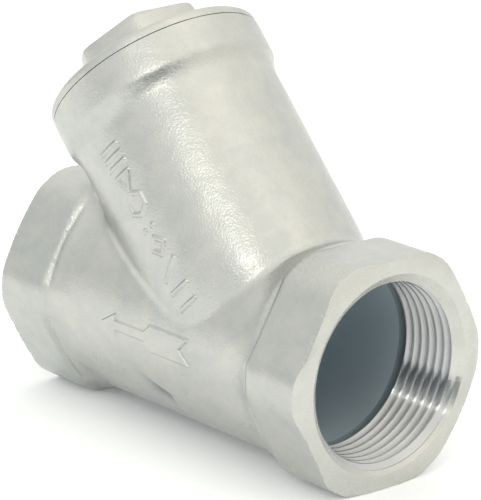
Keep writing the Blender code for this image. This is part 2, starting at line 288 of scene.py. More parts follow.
def casting(p):
    """The outside of the body, with metal to spare where it is faced later."""
    x, y, z = p[:, 0], p[:, 1], p[:, 2] - RUN_Z
    rho = np.hypot(y, z)
    ax = np.abs(x)
    tube = rho - RUN_R
    block = meet(hexagon(y, z) - APOTHEM, rho - CORNER_R, CORNER_EDGE)
    shoulder = (block + (HEX_BACK - ax) * SHOULDER_SLOPE) / math.hypot(1, SHOULDER_SLOPE)
    block = meet(block, shoulder, SHOULDER_EDGE)
    fillet = SHOULDER_FILLET * (1 - smooth(FILLET_FADES, FILLET_GONE, ax)) + LEAST_FILLET
    run = join(tube, block, fillet)
    run = np.maximum(run, ax - HALF_RUN - SPARE)

    s, w, _ = on_branch(p)
    rb = np.hypot(w, y) + TINY
    collar = (rb - BRANCH_R - (s - COLLAR_START) * COLLAR_SLOPE) / math.hypot(1, COLLAR_SLOPE)
    collar = meet(rb - COLLAR_R, collar, COLLAR_EDGE)
    tube = rb - BRANCH_R + np.clip(ROOT_START - s, 0, ROOT_REACH) ** 2 * ROOT_CURVE
    neck = join(tube, collar, COLLAR_FILLET)
    neck = np.maximum(np.maximum(neck, BRANCH_START - s), s - COLLAR_TOP - SPARE)

    # cosine of the angle between the ways that the two tubes face
    alike = (y * y - z * w * COS) / ((rho + TINY) * rb)
    pocket = np.sqrt((x - POCKET[0]) ** 2 + (np.abs(y) - POCKET[1]) ** 2 + (p[:, 2] - POCKET[2]) ** 2)
    radius = (JOINT_FILLET + FAR_EXTRA * smooth(FAR_STARTS, FAR_FULL, x)
              + POCKET_EXTRA * smooth(POCKET_REACH, POCKET_FULL, pocket))
    skin = join(run, neck, radius * np.clip((1 - alike) / FLUSH, 0, 1) + LEAST_FILLET)

    arrow, mark = relief_outline(p)
    skin = (skin - ARROW_RISE * smooth(ARROW_BLUNT, -ARROW_BLUNT, arrow)
            - MARK_RISE * smooth(MARK_BLUNT, -MARK_BLUNT, mark))
    below = RUN_R * (np.arctan2(z, y) - DENT_TOP)
    dent = (smooth(0, DENT_DEEPEST, below) * smooth(DENT_END, DENT_DEEPEST, below)
            * smooth(DENT_TAIL, DENT_FULL, x) * smooth(DENT_FRONT, DENT_BACK, x))
    return skin + DENT_DEPTH * dent + nicks(p) - waviness(p)


def cap_across(w, y):
    """Coordinates across the branch, turned so that a flat of the cap's hexagon faces the second one.

    That flat faces CAP_TURN from +Y, measured towards the run's side of the branch.
    """
    c, s = math.cos(CAP_TURN), math.sin(CAP_TURN)
    return c * w - s * y, c * y + s * w


def cap_outside(p):
    """The flange and head of the cap, with spare metal below the flange."""
    s, w, y = on_branch(p)
    rb = np.hypot(w, y)
    flange = meet(rb - FLANGE_R, s - FLANGE_TOP, CAP_EDGE)
    a, b = cap_across(w, y)
    head = meet(hexagon(a, b) - CAP_APOTHEM, rb - CAP_CORNER_R, CAP_EDGE)
    head = meet(head, s - CAP_TOP, CAP_TOP_EDGE)
    both = join(flange, head, CAP_FILLET)
    both = np.maximum(both, FLANGE_LOW - CAP_SPARE - s)
    return both - waviness(p * CAP_WAVE) * CAP_WAVE_DEPTH


# -------------------------------- meshing a field
LEAST_SLOPE = 0.05  # square of a gradient below which a point hardly moves
SHORTEST = 0.16  # an edge no longer than this isn't split
EVENING = 0.5  # how far relax() pulls a point towards its neighbours' middle


def sloped(field, p, step=0.02):
    """The field and its gradient at some points."""
    grad = np.empty_like(p)
    for k in range(3):
        shift = np.zeros(3)
        shift[k] = step
        grad[:, k] = (field(p + shift) - field(p - shift)) / (2 * step)
    return field(p), grad


def unit(vectors):
    return vectors / np.maximum(np.linalg.norm(vectors, axis=1), TINY)[:, None]


def settle(field, p, rounds, reach=0.6):
    """Moves points onto the zero set, at most reach in each round."""
    for _ in range(rounds):
        value, grad = sloped(field, p)
        size = np.maximum((grad ** 2).sum(1), LEAST_SLOPE)
        move = -(value / size)[:, None] * grad
        length = np.maximum(np.linalg.norm(move, axis=1), 1e-12)
        p = p + move * np.minimum(1, reach / length)[:, None]
    return p


def surface_net(field, low, high, step):
    """Quads on the zero set of a field, one point in each grid cell that it crosses."""
    axes = [np.arange(low[k], high[k] + step, step) for k in range(3)]
    shape = tuple(len(a) for a in axes)
    value = np.empty(shape)
    yz = np.stack(np.meshgrid(axes[1], axes[2], indexing="ij"), -1).reshape(-1, 2)
    for i, x in enumerate(axes[0]):
        value[i] = field(np.column_stack([np.full(len(yz), x), yz])).reshape(shape[1:])
    inside = value < 0
    corners = [(i, j, k) for i in (0, 1) for j in (0, 1) for k in (0, 1)]
    count = 0
    for c in corners:
        part = tuple(slice(c[k], shape[k] - 1 + c[k]) for k in range(3))
        count = count + inside[part].astype(np.int8)
    cells = np.argwhere((count > 0) & (count < 8))
    number = np.full(tuple(n - 1 for n in shape), -1, np.int64)
    number[tuple(cells.T)] = np.arange(len(cells))
    sample = {c: value[tuple((cells + c).T)] for c in corners}
    total = np.zeros((len(cells), 3))
    hits = np.zeros(len(cells))
    for c in corners:
        for k in range(3):
            if c[k]:
                continue
            d = tuple(1 if m == k else c[m] for m in range(3))
            a, b = sample[c], sample[d]
            cross = (a < 0) != (b < 0)
            t = np.where(cross, a / np.where(cross, a - b, 1), 0)
            point = np.tile(np.array(c, float), (len(cells), 1))
            point[:, k] += t
            total += point * cross[:, None]
            hits += cross
    origin = np.array([a[0] for a in axes])
    points = origin + (cells + total / hits[:, None]) * step
    quads = []
    for k in range(3):
        m, n = (k + 1) % 3, (k + 2) % 3
        here = [slice(None)] * 3
        there = [slice(None)] * 3
        here[k], there[k] = slice(0, -1), slice(1, None)
        a, b = inside[tuple(here)], inside[tuple(there)]
        for first, flip in ((a & ~b, False), (~a & b, True)):
            at = np.argwhere(first)
            at = at[((at > 0) & (at < np.array(shape) - 1))[:, [m, n]].all(axis=1)]
            ring = []
            for dm, dn in ((-1, -1), (0, -1), (0, 0), (-1, 0)):
                cell = at.copy()
                cell[:, m] += dm
                cell[:, n] += dn
                ring.append(number[tuple(cell.T)])
            quads.append(np.column_stack(ring[::-1] if flip else ring))
    return points, np.concatenate(quads)


def halve(points, triangles, wanted):
    """Splits every edge that wanted() picks, and the triangles on it.

    A triangle's kind has a bit for each side that is split, and turning it brings those
    sides first.
    """
    pairs = np.stack([triangles, np.roll(triangles, -1, axis=1)], -1).reshape(-1, 2)
    pairs.sort(axis=1)
    code, back = np.unique(pairs[:, 0] * len(points) + pairs[:, 1], return_inverse=True)
    ends = np.column_stack([code // len(points), code % len(points)])
    pick = wanted(ends)
    number = np.full(len(code), -1, np.int64)
    number[pick] = len(points) + np.arange(pick.sum())
    points = np.concatenate([points, points[ends[pick]].mean(axis=1)])
    middle = number[back].reshape(-1, 3)  # on sides 01, 12 and 20
    made = []
    split = middle >= 0
    kinds = split[:, 0] * 1 + split[:, 1] * 2 + split[:, 2] * 4
    for kind in range(8):
        t, m = triangles[kinds == kind], middle[kinds == kind]
        if not len(t):
            continue
        turn = {1: 0, 2: 1, 4: 2, 3: 0, 6: 1, 5: 2}.get(kind, 0)
        t, m = np.roll(t, -turn, axis=1), np.roll(m, -turn, axis=1)
        (a, b, c), (ab, bc, ca) = t.T, m.T
        if kind == 0:
            made.append(t)
        elif kind in (1, 2, 4):
            made += [np.column_stack(f) for f in ((a, ab, c), (ab, b, c))]
        elif kind == 7:
            made += [np.column_stack(f) for f in ((a, ab, ca), (ab, b, bc), (ca, bc, c), (ab, bc, ca))]
        else:
            made += [np.column_stack(f) for f in ((ab, b, bc), (a, ab, bc), (a, bc, c))]
    return points, np.concatenate(made)


def relax(field, points, triangles, rounds=2):
    """Evens out the triangles without leaving the surface."""
    pairs = np.concatenate([triangles[:, [0, 1]], triangles[:, [1, 2]], triangles[:, [2, 0]]])
    for _ in range(rounds):
        total = np.zeros_like(points)
        count = np.zeros(len(points))
        for a, b in ((0, 1), (1, 0)):
            np.add.at(total, pairs[:, a], points[pairs[:, b]])
            np.add.at(count, pairs[:, a], 1)
        pull = total / count[:, None] - points
        _, grad = sloped(field, points)
        normal = unit(grad)
        points = points + EVENING * (pull - (pull * normal).sum(1)[:, None] * normal)
        points = settle(field, points, 1)
    return points


def field_mesh(name, field, low, high, step, bend, levels, near=None):
    """A closed mesh on a field's zero set, finer where the surface bends or near() says so.

    bend is the largest turn in degrees between the ends of an edge, over which it is
    split. near takes the middles of the edges and the level, and says which to split
    whether they bend or not.
    """
    points, quads = surface_net(field, low, high, step)
    points = settle(field, points, 4)
    triangles = np.concatenate([quads[:, [0, 1, 2]], quads[:, [0, 2, 3]]])
    points = relax(field, points, triangles)
    limit = math.cos(math.radians(bend))
    for level in range(levels):
        _, grad = sloped(field, points)
        normal = unit(grad)

        def wanted(ends):
            a, b = points[ends[:, 0]], points[ends[:, 1]]
            long = np.linalg.norm(a - b, axis=1) > SHORTEST
            pick = (normal[ends[:, 0]] * normal[ends[:, 1]]).sum(1) < limit
            if near is not None:
                pick |= near((a + b) / 2, level)
            return pick & long

        points, triangles = halve(points, triangles, wanted)
        points = settle(field, points, 2)
    return mesh_object(name, points, triangles)


# -------------------------------- Blender objects
def mesh_object(name, points, faces):
    """An object at the origin from points in millimetres."""
    mesh = bpy.data.meshes.new(name)
    if isinstance(faces, np.ndarray):
        faces = faces.tolist()
    mesh.from_pydata((np.asarray(points, float) * MM).tolist(), [], faces)
    mesh.validate()
    made = bpy.data.objects.new(name, mesh)
    bpy.context.scene.collection.objects.link(made)
    return made


def frame_of(direction, foot):
    """Turns local Z to a direction, with local Y on world Y; places are in millimetres."""
    z = direction.normalized()
    y = Vector((0, 1, 0))
    return Matrix.Translation(foot) @ Matrix((y.cross(z), y, z)).transposed().to_4x4()


INLET = frame_of(RUN_AXIS, RUN_FOOT)
OUTLET = frame_of(-RUN_AXIS, RUN_FOOT)
BRANCH = frame_of(UP_BRANCH, FOOT)


def place(matrix, points):
    """Points carried by a matrix."""
    turn = np.array(matrix)
    return np.asarray(points, float) @ turn[:3, :3].T + turn[:3, 3]


def lathe(name, profile, matrix, sides=ROUND, closed_ring=False):
    """A profile of (radius, height) turned round the matrix's Z.

    Its first and last points lie on the axis, unless it is a closed ring.
    """
    points, faces, rings = [], [], []
    for r, z in profile:
        if r == 0:
            rings.append([len(points)])
            points.append((0, 0, z))
        else:
            rings.append(list(range(len(points), len(points) + sides)))
            angles = [TAU * i / sides for i in range(sides)]
            points += [(r * math.cos(a), r * math.sin(a), z) for a in angles]
    steps = closed(rings) if closed_ring else zip(rings, rings[1:])
    for lower, upper in steps:
        for i in range(sides):
            j = (i + 1) % sides
            face = [lower[i % len(lower)], lower[j % len(lower)]]
            face += [upper[j % len(upper)], upper[i % len(upper)]]
            face = [v for k, v in enumerate(face) if v not in face[:k]]
            if len(face) > 2:
                faces.append(face)
    return outward(mesh_object(name, place(matrix, points), faces))


def outward(made):
    """Turns a closed mesh's faces outward and makes them triangles."""
    bm = bmesh.new()
    bm.from_mesh(made.data)
    bmesh.ops.recalc_face_normals(bm, faces=bm.faces)
    bmesh.ops.triangulate(bm, faces=bm.faces)
    bm.to_mesh(made.data)
    bm.free()
    return made


def rod(name, radius, low, high, matrix, sides=ROUND):
    return lathe(name, [(0, high), (radius, high), (radius, low), (0, low)], matrix, sides)


def threaded(name, stops, pitch, low, high, matrix, sides=THREAD_ROUND):
    """A right-handed threaded rod from below low to above high.

    stops are (share of the pitch, radius). The columns of points climb, so that the last
    one meets the first one a pitch up it.
    """
    turns = math.ceil((high - low) / pitch) + 3
    column = [(low - 2 * pitch + (k + share) * pitch, r) for k in range(turns) for share, r in stops]
    rows, step = len(column), len(stops)
    points = [(r * math.cos(TAU * i / sides), r * math.sin(TAU * i / sides), z + pitch * i / sides)
              for i in range(sides) for z, r in column]
    last, shared = sides - 1, rows - 1 - step

    def at(i, j):
        return i * rows + j

    faces = [(at(i, j), at(i + 1, j), at(i + 1, j + 1), at(i, j + 1))
             for i in range(last) for j in range(rows - 1)]
    faces += [(at(last, j), at(0, j + step), at(0, j + step + 1), at(last, j + 1)) for j in range(shared)]
    bottom = [at(i, 0) for i in range(sides)] + [at(0, j) for j in range(step, 0, -1)]
    top = [at(i, rows - 1) for i in range(last, -1, -1)] + [at(last, j) for j in range(shared, rows - 1)]
    for rim, z in ((bottom, column[0][0] - 2 * pitch), (top, column[-1][0] + 2 * pitch)):
        points.append((0, 0, z))
        faces += [(len(points) - 1, b, a) for a, b in closed(rim)]
    return outward(mesh_object(name, place(matrix, points), faces))


def combine(target, other, operation, material=None):
    """Cuts or joins two closed meshes. The faces that the other one leaves take its material."""
    if material is not None and not other.data.materials:
        other.data.materials.append(material)
    step = target.modifiers.new("step", "BOOLEAN")
    step.operation = operation
    step.solver = "MANIFOLD"
    step.object = other
    step.material_mode = "TRANSFER"
    graph = bpy.context.evaluated_depsgraph_get()
    mesh = bpy.data.meshes.new_from_object(target.evaluated_get(graph))
    target.modifiers.clear()
    old, target.data = target.data, mesh
    bpy.data.meshes.remove(old)
    bpy.data.objects.remove(other, do_unlink=True)
    return target


def cut(target, tool, material=None):
    return combine(target, tool, "DIFFERENCE", material)


def finish_shading(made, sharp=32):
    """Smooth shading with crisp machined edges."""
    for face in made.data.polygons:
        face.use_smooth = True
    made.data.set_sharp_from_angle(angle=math.radians(sharp))
    return made


# -------------------------------- materials
# Colours are linear, the scales of noises are cells to a metre, and the depths of bumps are metres.
NOISE_LOW, NOISE_HIGH = 0.3, 0.7  # what a noise's values mostly lie between


class Recipe:
    """A node material, or the world, with a few short words for the nodes that they use."""

    def __init__(self, owner, shader="Principled BSDF", coordinate="Object"):
        self.material = bpy.data.materials.new(owner) if isinstance(owner, str) else owner
        self.material.use_nodes = True
        self.tree = self.material.node_tree
        self.shader = self.tree.nodes[shader]
        self.place = self.node("ShaderNodeTexCoord").outputs[coordinate]

    def node(self, kind, **values):
        made = self.tree.nodes.new(kind)
        for key, value in values.items():
            setattr(made, key, value)
        return made

    def link(self, source, target):
        self.tree.links.new(source, target)

    def noise(self, scale, detail=3.0, roughness=0.55):
        made = self.node("ShaderNodeTexNoise")
        self.link(self.place, made.inputs["Vector"])
        for key, value in (("Scale", scale), ("Detail", detail), ("Roughness", roughness)):
            made.inputs[key].default_value = value
        return made.outputs["Fac"]

    def cells(self, scale):
        made = self.node("ShaderNodeTexVoronoi")
        self.link(self.place, made.inputs["Vector"])
        made.inputs["Scale"].default_value = scale
        return made.outputs["Distance"]

    def spread(self, value, to_low=0.0, to_high=1.0, low=NOISE_LOW, high=NOISE_HIGH):
        """A noise, or a value between low and high, spread over another range."""
        made = self.node("ShaderNodeMapRange")
        self.link(value, made.inputs["Value"])
        for key, number in (("From Min", low), ("From Max", high), ("To Min", to_low), ("To Max", to_high)):
            made.inputs[key].default_value = number
        return made.outputs["Result"]

    def ease(self, value, low, high, to_low=0.0, to_high=1.0):
        """A value between low and high spread over another range, with both ends eased."""
        made = self.spread(value, to_low, to_high, low, high)
        made.node.interpolation_type = "SMOOTHSTEP"
        return made

    def vector(self, operation, a, b=None, scale=None):
        made = self.node("ShaderNodeVectorMath", operation=operation)
        for key, value in ((0, a), (1, b), ("Scale", scale)):
            if isinstance(value, Vector):
                made.inputs[key].default_value = tuple(value)
            elif value is not None:
                self.link(value, made.inputs[key])
        return made.outputs["Value" if operation in ("DOT_PRODUCT", "LENGTH") else "Vector"]

    def towards(self, direction):
        """How far the place, or in the world the way looked, lies along a direction."""
        return self.vector("DOT_PRODUCT", self.place, Vector(direction))

    def math(self, operation, a, b=0.0, c=None):
        made = self.node("ShaderNodeMath", operation=operation)
        for i, value in enumerate((a, b, c)):
            if isinstance(value, (int, float)):
                made.inputs[i].default_value = value
            elif value is not None:
                self.link(value, made.inputs[i])
        return made.outputs[0]

    def times(self, first, *others):
        for other in others:
            first = self.math("MULTIPLY", first, other)
        return first

    def ramp(self, value, stops):
        made = self.node("ShaderNodeValToRGB")
        self.link(value, made.inputs["Fac"])
        while len(made.color_ramp.elements) < len(stops):
            made.color_ramp.elements.new(0.5)
        for element, (at, colour) in zip(made.color_ramp.elements, stops):
            element.position = at
            element.color = (*colour, 1)
        return made.outputs["Color"]

    def mix(self, factor, a, b):
        made = self.node("ShaderNodeMix", data_type="RGBA")
        if isinstance(factor, (int, float)):
            made.inputs["Factor"].default_value = factor
        else:
            self.link(factor, made.inputs["Factor"])
        colours = [socket for socket in made.inputs if socket.type == "RGBA"]
        for socket, value in zip(colours, (a, b)):
            if isinstance(value, tuple):
                socket.default_value = (*value, 1)
            else:
                self.link(value, socket)
        return next(socket for socket in made.outputs if socket.type == "RGBA")

    def bump(self, height, distance, strength=1.0, before=None):
        made = self.node("ShaderNodeBump")
        self.link(height, made.inputs["Height"])
        made.inputs["Distance"].default_value = distance
        made.inputs["Strength"].default_value = strength
        if before is not None:
            self.link(before, made.inputs["Normal"])
        return made.outputs["Normal"]

    def turned(self, direction, foot):
        """Distance from an axis and distance along it, in metres, and the direction away from it."""
        away = self.vector("SUBTRACT", self.place, foot * MM)
        along = self.vector("DOT_PRODUCT", away, direction)
        outward_way = self.vector("SUBTRACT", away, self.vector("SCALE", direction, scale=along))
        return self.vector("LENGTH", outward_way), along, outward_way

    def smear(self, direction):
        """Spreads reflections along a direction in the object's space."""
        turn = self.node("ShaderNodeVectorTransform", vector_type="VECTOR",
                         convert_from="OBJECT", convert_to="WORLD")
        if isinstance(direction, Vector):
            turn.inputs[0].default_value = tuple(direction)
        else:
            self.link(direction, turn.inputs[0])
        self.link(turn.outputs[0], self.shader.inputs["Tangent"])

    def line_noise(self, value, scale, detail=4.0):
        """Noise that varies only with one number, as tool marks do."""
        made = self.node("ShaderNodeTexNoise", noise_dimensions="1D")
        self.link(value, made.inputs["W"])
        made.inputs["Scale"].default_value = scale
        made.inputs["Detail"].default_value = detail
        return made.outputs["Fac"]

    def set(self, **values):
        for key, value in values.items():
            socket = self.shader.inputs[key.replace("_", " ")]
            if isinstance(value, (int, float)):
                socket.default_value = value
            elif isinstance(value, tuple):
                socket.default_value = (*value, 1)
            else:
                self.link(value, socket)
        return self.material


# Painted shade: a dark colour laid on the body where the dent below the arrow lies in shade.
STAIN = (0.21, 0.23, 0.25)
STAIN_TOP, STAIN_SLOPE = 0.01418, 0.38  # metres: its top edge at x = 0, and the edge's fall
STAIN_CRISP, STAIN_DARKEST, STAIN_LOW = 0.0006, 0.0004, 0.0055  # distances below that edge
STAIN_TAIL, STAIN_FULL, STAIN_BACK, STAIN_FRONT = -0.007, 0.0030, 0.0033, 0.0041  # along the run
STAIN_SIDE_FROM, STAIN_SIDE_TO = 0.010, 0.014  # it is on the arrow's side, growing between these


def dent_stain(m):
    """Painted shade in the dent below the arrow: how dark it is, sharp above and towards the inlet."""
    below = m.math("SUBTRACT", STAIN_TOP, m.towards((STAIN_SLOPE, 0, 1)))
    along = m.towards((1, 0, 0))
    fades = ((below, 0.0, STAIN_CRISP), (below, STAIN_LOW, STAIN_DARKEST), (along, STAIN_TAIL, STAIN_FULL),
             (along, STAIN_FRONT, STAIN_BACK), (m.towards((0, -1, 0)), STAIN_SIDE_FROM, STAIN_SIDE_TO))
    return m.times(*(m.ease(*fade) for fade in fades))


BLASTED = [(0.0, (0.465, 0.485, 0.48)), (0.5, (0.53, 0.537, 0.515)), (1.0, (0.59, 0.585, 0.54))]
BLASTED_FLECK = (0.39, 0.40, 0.39)


def blasted_steel(name, grain=1.0, dented=False):
    """Bead-blasted and pickled cast stainless: fine pits, faint clouds of tone, a satin sheen."""
    m = Recipe(name)
    clouds = m.mix(0.45, m.noise(70, 4, 0.6), m.noise(260, 4, 0.6))
    fleck = m.spread(m.noise(1300, 3, 0.6), to_high=0.14)
    tone = m.mix(fleck, m.ramp(m.spread(clouds), BLASTED), BLASTED_FLECK)
    # painted shade in the dent, mixed into the body's tone
    if dented:
        tone = m.mix(dent_stain(m), tone, STAIN)
    normal = m.bump(m.noise(160, 3, 0.5), 0.00020, 0.5)
    normal = m.bump(m.noise(2100, 2, 0.65), 0.00007, 0.95 * grain, normal)
    normal = m.bump(m.cells(1700), 0.00004, 0.6 * grain, normal)
    rough = m.spread(m.noise(420, 3), 0.27, 0.37)
    return m.set(Base_Color=tone, Metallic=1.0, Roughness=rough, Normal=normal)


def turned_steel(name, direction, foot, radial, roughness=(0.24, 0.32), tone=(0.60, 0.60, 0.565)):
    """Machined stainless with tool marks round an axis, which smear light across them.

    It is an end face if radial, and otherwise a bore.
    """
    m = Recipe(name)
    away, along, outward_way = m.turned(direction, foot)
    m.smear(outward_way if radial else direction)
    lines = m.line_noise(away if radial else along, 9000, 3)
    darker = tuple(c * 0.84 for c in tone)
    colour = m.mix(m.spread(m.noise(90, 3), to_high=0.35), tone, darker)
    normal = m.bump(lines, 0.00002, 0.6)
    normal = m.bump(m.noise(1500, 2), 0.00002, 0.12, normal)
    rough = m.spread(m.noise(260, 3), *roughness)
    return m.set(Base_Color=colour, Metallic=1.0, Roughness=rough, Anisotropic=1.0, Normal=normal)


def inner_cast(name, darker=(0.54, 0.64, 0.70), paler=(0.59, 0.69, 0.75)):
    """The unblasted inside of the casting, matt and a little bluish."""
    m = Recipe(name)
    colour = m.ramp(m.spread(m.noise(60, 4)), [(0.0, darker), (1.0, paler)])
    normal = m.bump(m.noise(700, 3), 0.00004, 0.5)
    rough = m.spread(m.noise(240, 3), 0.42, 0.55)
    return m.set(Base_Color=colour, Metallic=0.15, Roughness=rough, Normal=normal)


def ptfe(name, darker=(0.80, 0.80, 0.77), paler=(0.88, 0.88, 0.86)):
    """Waxy white sheet."""
    m = Recipe(name)
    cloud = m.noise(300, 3)
    colour = m.mix(m.spread(cloud), darker, paler)
    normal = m.bump(m.noise(2500, 2), 0.00002, 0.4)
    return m.set(Base_Color=colour, Roughness=m.spread(cloud, 0.40, 0.52), Normal=normal)


def sheet_steel(name, darker=(0.53, 0.53, 0.51), paler=(0.60, 0.59, 0.57)):
    """Cold-rolled perforated sheet, with faint lines round the tube that it is rolled into."""
    m = Recipe(name)
    _, along, _ = m.turned(UP_BRANCH, FOOT)
    cloud = m.noise(140, 3)
    colour = m.mix(m.spread(cloud), darker, paler)
    normal = m.bump(m.line_noise(along, 7000, 3), 0.00001, 0.5)
    normal = m.bump(m.noise(1800, 2), 0.00001, 0.4, normal)
    rough = m.spread(cloud, 0.22, 0.32)
    return m.set(Base_Color=colour, Metallic=1.0, Roughness=rough, Normal=normal)


# the body's material carries the painted shade in the dent below the arrow
cast = blasted_steel("cast_blasted_steel", dented=True)
cast_cap = blasted_steel("cast_blasted_steel_cap", grain=0.8)
faced = turned_steel("faced_steel", RUN_AXIS, RUN_FOOT, radial=True)
bored = turned_steel("threaded_steel", RUN_AXIS, RUN_FOOT, radial=False,
                     roughness=(0.24, 0.27), tone=(0.56, 0.57, 0.58))
inner = inner_cast("cast_inside")
# Painted shade: a darker copy of the inside's material for the relief grooves behind the threads, which lie
# in shade.
inner_shaded = inner_cast("relief_inside_painted_shade", darker=(0.20, 0.25, 0.28), paler=(0.26, 0.31, 0.34))
neck_turned = turned_steel("neck_turned_steel", UP_BRANCH, FOOT, radial=True)
neck_bored = turned_steel("neck_threaded_steel", UP_BRANCH, FOOT, radial=False,
                          roughness=(0.20, 0.28), tone=(0.56, 0.56, 0.55))
white_seal = ptfe("ptfe_sheet")
mesh_steel = sheet_steel("perforated_sheet")


# -------------------------------- the casting
# A thread with rounded crests and roots, as (share of the pitch, share of the rise).
ROUNDED = [(0.00, 0.0), (0.07, 0.045), (0.14, 0.15), (0.36, 0.85), (0.43, 0.955), (0.50, 1.0),
           (0.57, 0.955), (0.64, 0.85), (0.86, 0.15), (0.93, 0.045)]
PIPE_STOPS = [(share, PIPE_MINOR_R + rise * (PIPE_MAJOR_R - PIPE_MINOR_R)) for share, rise in ROUNDED]

FLANK = 0.31  # of the cap's thread, as a share of its pitch
CORNER_EASE, CORNER_DROP = 0.02, 0.07  # its eased corners, as shares of the pitch and of the rise


def cap_stops(root, crest, gap):
    """The cap's thread, flat on its crests and roots, widened by gap all round."""
    flat = (1 - 2 * FLANK) / 2
    grow = gap * math.tan(math.atan2(crest - root, FLANK * CAP_PITCH) / 2) / CAP_PITCH
    root, crest = root + gap, crest + gap
    drop = CORNER_DROP * (crest - root)
    rise_from = grow + (flat - 2 * grow)
    crest_from = rise_from + FLANK
    crest_to = crest_from + (flat + 2 * grow)
    return [(grow + CORNER_EASE, root), (rise_from - CORNER_EASE, root),
            (rise_from + CORNER_EASE, root + drop), (crest_from - CORNER_EASE, crest - drop),
            (crest_from + CORNER_EASE, crest), (crest_to - CORNER_EASE, crest),
            (crest_to + CORNER_EASE, crest - drop), (grow + 1 - CORNER_EASE, root + drop)]


RELIEF_BANDS = (1.1, 0.6, 0.32)  # how near an outline edges are split, at each level
NICKED_AT, NICKED_WITHIN = 49.2, 0.6  # the ends' outer edges, which are nicked
NICKED_LEVELS = 2


def near_relief(p, level):
    """On or by a raised mark, or by the arrow's outline or the nicked edges of the ends."""
    arrow, mark = relief_outline(p)
    reach = RELIEF_BANDS[level]
    close = (np.abs(arrow) < reach) | (mark < reach)
    edge = (np.abs(np.abs(p[:, 0]) - NICKED_AT) < NICKED_WITHIN) & (level < NICKED_LEVELS)
    return (close | edge) & (np.abs(casting(p)) < 1.0)


BODY_LOW, BODY_HIGH = (-52.5, -29, -3.5), (52.5, 29, 94)
body = field_mesh("body_casting", casting, BODY_LOW, BODY_HIGH, step=0.9,
                  bend=21, levels=3, near=near_relief)
body.data.materials.append(cast)

relief_at = HALF_RUN - PIPE_DEPTH + BREAK
cavity = rod("run_cavity", CAVITY_R, -relief_at, relief_at, INLET)
cavity.data.materials.append(inner)
cut(cavity, rod("web", RUN_R * 2, WEB_LOW, WEB_HIGH, BRANCH), inner)
cut(body, cavity)
cut(body, rod("chamber", CHAMBER_R, WEB_HIGH - BREAK, NECK_THREAD_START + SPARE, BRANCH), inner)
cut(body, lathe("screen_seat", [
    (0, WEB_HIGH + SPARE), (SEAT_R + BREAK, WEB_HIGH + SPARE), (SEAT_R + BREAK, WEB_HIGH),
    (SEAT_R, WEB_HIGH - BREAK), (SEAT_R, SEAT_FLOOR), (WEB_HOLE_R, SEAT_FLOOR),
    (WEB_HOLE_R, WEB_LOW - SPARE), (0, WEB_LOW - SPARE)], BRANCH), inner)

thread_from, thread_to = HALF_RUN - PIPE_DEPTH, HALF_RUN + SPARE
relief_to = relief_at - RELIEF - RELIEF_CONE
mouth_depth = MOUTH_SLOPE * (MOUTH_R - PIPE_MINOR_R) + SPARE
bevel_back = (WIDE - FACE_R) * math.tan(FACE_BEVEL)
RELIEF_PROFILE = [
    (0, relief_at), (RELIEF_R - BREAK, relief_at), (RELIEF_R, relief_at - BREAK),
    (RELIEF_R, relief_at - RELIEF), (CAVITY_R - 0.1, relief_to), (0, relief_to)]
MOUTH_PROFILE = [
    (0, thread_to), (MOUTH_R + SPARE / MOUTH_SLOPE, thread_to),
    (MOUTH_R - mouth_depth / MOUTH_SLOPE, HALF_RUN - mouth_depth), (0, HALF_RUN - mouth_depth)]
FACE_PROFILE = [
    (0, HALF_RUN), (FACE_R, HALF_RUN), (WIDE, HALF_RUN - bevel_back), (WIDE, HALF_RUN + PAST),
    (0, HALF_RUN + PAST)]
for name, end in (("inlet", INLET), ("outlet", OUTLET)):
    cut(body, lathe(name + "_relief", RELIEF_PROFILE, end), inner_shaded)
    thread = threaded(name + "_thread", PIPE_STOPS, PIPE_PITCH, thread_from, thread_to, end)
    thread.data.materials.append(bored)
    combine(thread, rod("thread_ends", PIPE_MAJOR_R + SPARE, thread_from, thread_to, end), "INTERSECT", bored)
    cut(body, thread)
    cut(body, lathe(name + "_mouth", MOUTH_PROFILE, end), faced)
    cut(body, lathe(name + "_face", FACE_PROFILE, end), faced)

neck_from, neck_to = NECK_THREAD_START, COLLAR_TOP + SPARE
neck = threaded("neck_thread", cap_stops(CAP_THREAD_ROOT_R, CAP_THREAD_R, THREAD_GAP), CAP_PITCH,
                neck_from, neck_to, BRANCH)
neck.data.materials.append(neck_bored)
neck_ends = rod("neck_thread_ends", CAP_THREAD_R + SPARE, neck_from - 0.1, neck_to, BRANCH)
combine(neck, neck_ends, "INTERSECT", neck_bored)
cut(body, neck)

recess_break, rim_break = 0.15, 0.12  # broken edges round the seal's recess and the rim
lead = CAP_THREAD_R + THREAD_GAP + BREAK
lead_depth = 1.5
cut(body, lathe("seal_recess", [
    (0, COLLAR_TOP + PAST), (SEAL_R + recess_break, COLLAR_TOP + PAST), (SEAL_R + recess_break, COLLAR_TOP),
    (SEAL_R, COLLAR_TOP - recess_break), (SEAL_R, SEAL_FLOOR), (lead, SEAL_FLOOR),
    (lead - lead_depth, SEAL_FLOOR - lead_depth), (0, SEAL_FLOOR - lead_depth)], BRANCH), neck_turned)
cut(body, lathe("rim", [
    (0, COLLAR_TOP), (COLLAR_R - rim_break, COLLAR_TOP), (COLLAR_R + 2 - rim_break, COLLAR_TOP - 2),
    (WIDE, COLLAR_TOP - 2), (WIDE, COLLAR_TOP + PAST), (0, COLLAR_TOP + PAST)], BRANCH), neck_turned)
finish_shading(body)
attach(body, "casting")
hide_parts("body")

